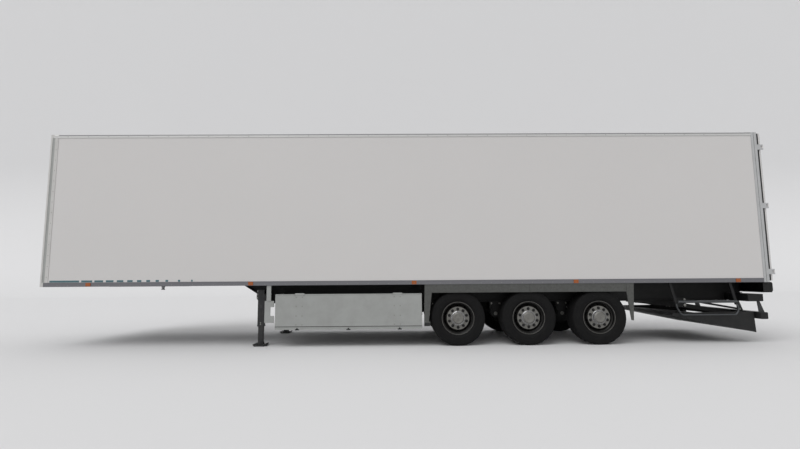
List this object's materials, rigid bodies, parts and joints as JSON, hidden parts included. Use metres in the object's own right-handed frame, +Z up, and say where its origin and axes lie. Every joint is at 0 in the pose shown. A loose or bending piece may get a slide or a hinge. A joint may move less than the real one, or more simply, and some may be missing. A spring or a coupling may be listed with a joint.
{
  "type": "insulated box semi trailer",
  "caption": "Insulated box semi trailer on air-sprung axles, with rear doors, pallet box, landing legs and a folded tail lift.",
  "frame": {"origin": "on the ground, under the middle of the whole length and width", "axes": "+X to the rear doors, +Y to the right-hand side as it is towed, +Z up"},
  "size_m": [13.642, 2.616, 4],
  "materials": {
    "panel_white": "smooth pale coating on insulated panels",
    "post_white": "white powder coat",
    "rail_grey": "anodised extrusion",
    "deck_aluminium": "ribbed deck",
    "arch_grey": "mill sheet",
    "box_grey": "mill sheet",
    "guard_aluminium": "anodised tube",
    "chassis_black": "satin black coat",
    "platform_dark": "satin dark coat",
    "leg_steel": "satin dark coat",
    "kingpin_steel": "forged and greased",
    "lock_steel": "zinc plated",
    "bumper_grey": "anodised extrusion",
    "brake_iron": "rough casting",
    "rim_silver": "silver paint",
    "tyre_black": "matt rubber",
    "bellows_rubber": "matt rubber",
    "lamp_orange": "clear moulding",
    "lamp_red": "clear moulding"
  },
  "bodies": {
    "trailer": {"floor_deck": "deck_aluminium", "side_walls": "panel_white", "front_wall": "panel_white", "front_frame": "post_white", "roof_panel": "panel_white", "roof_rails": "rail_grey", "bottom_rails": "rail_grey", "rear_frame": "rail_grey", "main_beams": "chassis_black", "crossmembers": "chassis_black", "coupler_plate": "chassis_black", "kingpin": "kingpin_steel", "landing_legs": "leg_steel", "landing_feet": "leg_steel", "landing_drive": "leg_steel", "axle_beams": "chassis_black", "hanger_brackets": "chassis_black", "trailing_arms": "chassis_black", "air_springs": "bellows_rubber", "brake_units": "brake_iron", "air_tanks": "chassis_black", "wheel_arch_frames": "arch_grey", "pallet_box": "box_grey", "side_plates": "post_white", "side_guards": "guard_aluminium", "light_carrier": "chassis_black", "rear_sill": "chassis_black", "guard_hangers": "chassis_black", "tail_lamps": "lamp_red", "underrun_beam": "bumper_grey", "marker_lamps": "lamp_orange", "lift_bearing": "chassis_black"},
    "door_left": {"door_left": "panel_white", "lock_gear_left": "lock_steel"},
    "door_right": {"door_right": "panel_white", "lock_gear_right": "lock_steel"},
    "pallet_flap_left": {"pallet_flap_left": "post_white"},
    "pallet_flap_right": {"pallet_flap_right": "post_white"},
    "lift_arms": {"lift_arms": "chassis_black"},
    "lift_links": {"lift_links": "chassis_black"},
    "platform": {"platform_leaf": "platform_dark", "platform_tip": "platform_dark"},
    "wheel_left_1": {"tyre_left_1": "tyre_black", "wheel_left_1": "rim_silver"},
    "wheel_left_2": {"tyre_left_2": "tyre_black", "wheel_left_2": "rim_silver"},
    "wheel_left_3": {"tyre_left_3": "tyre_black", "wheel_left_3": "rim_silver"},
    "wheel_right_1": {"tyre_right_1": "tyre_black", "wheel_right_1": "rim_silver"},
    "wheel_right_2": {"tyre_right_2": "tyre_black", "wheel_right_2": "rim_silver"},
    "wheel_right_3": {"tyre_right_3": "tyre_black", "wheel_right_3": "rim_silver"}
  },
  "joints": [
    {"name": "wheel_spin_left_1", "type": "hinge", "parent": "trailer", "child": "wheel_left_1", "pos_m": [0.886, -1.0825, 0.498], "axis": [0, 1, 0], "continuous": true},
    {"name": "wheel_spin_left_2", "type": "hinge", "parent": "trailer", "child": "wheel_left_2", "pos_m": [2.196, -1.0825, 0.498], "axis": [0, 1, 0], "continuous": true},
    {"name": "wheel_spin_left_3", "type": "hinge", "parent": "trailer", "child": "wheel_left_3", "pos_m": [3.506, -1.0825, 0.498], "axis": [0, 1, 0], "continuous": true},
    {"name": "wheel_spin_right_1", "type": "hinge", "parent": "trailer", "child": "wheel_right_1", "pos_m": [0.886, 1.0825, 0.498], "axis": [0, 1, 0], "continuous": true},
    {"name": "wheel_spin_right_2", "type": "hinge", "parent": "trailer", "child": "wheel_right_2", "pos_m": [2.196, 1.0825, 0.498], "axis": [0, 1, 0], "continuous": true},
    {"name": "wheel_spin_right_3", "type": "hinge", "parent": "trailer", "child": "wheel_right_3", "pos_m": [3.506, 1.0825, 0.498], "axis": [0, 1, 0], "continuous": true},
    {"name": "door_swing_left", "type": "hinge", "parent": "trailer", "child": "door_left", "pos_m": [6.809, -1.288, 2.5625], "axis": [0, 0, -1], "range_deg": [0, 270]},
    {"name": "door_swing_right", "type": "hinge", "parent": "trailer", "child": "door_right", "pos_m": [6.809, 1.288, 2.5625], "axis": [0, 0, 1], "range_deg": [0, 270]},
    {"name": "flap_lift_left", "type": "hinge", "parent": "trailer", "child": "pallet_flap_left", "pos_m": [-1.131, -1.282, 0.966], "axis": [-1, 0, 0], "range_deg": [0, 100]},
    {"name": "flap_lift_right", "type": "hinge", "parent": "trailer", "child": "pallet_flap_right", "pos_m": [-1.131, 1.282, 0.966], "axis": [1, 0, 0], "range_deg": [0, 100]},
    {"name": "lift_lower", "type": "hinge", "parent": "trailer", "child": "lift_arms", "pos_m": [5.279, 0, 0.69], "axis": [0, 1, 0], "range_deg": [0, 10]},
    {"name": "link_swing", "type": "hinge", "parent": "trailer", "child": "lift_links", "pos_m": [5.279, 0, 0.8], "axis": [0, 1, 0], "range_deg": [0, 10]},
    {"name": "platform_level", "type": "hinge", "parent": "lift_arms", "child": "platform", "pos_m": [6.349, 0, 0.5], "axis": [0, -1, 0], "range_deg": [0, 10]}
  ],
  "couplings": [
    {"joint": "link_swing", "follows": "lift_lower", "ratio": 1},
    {"joint": "platform_level", "follows": "lift_lower", "ratio": 1}
  ]
}
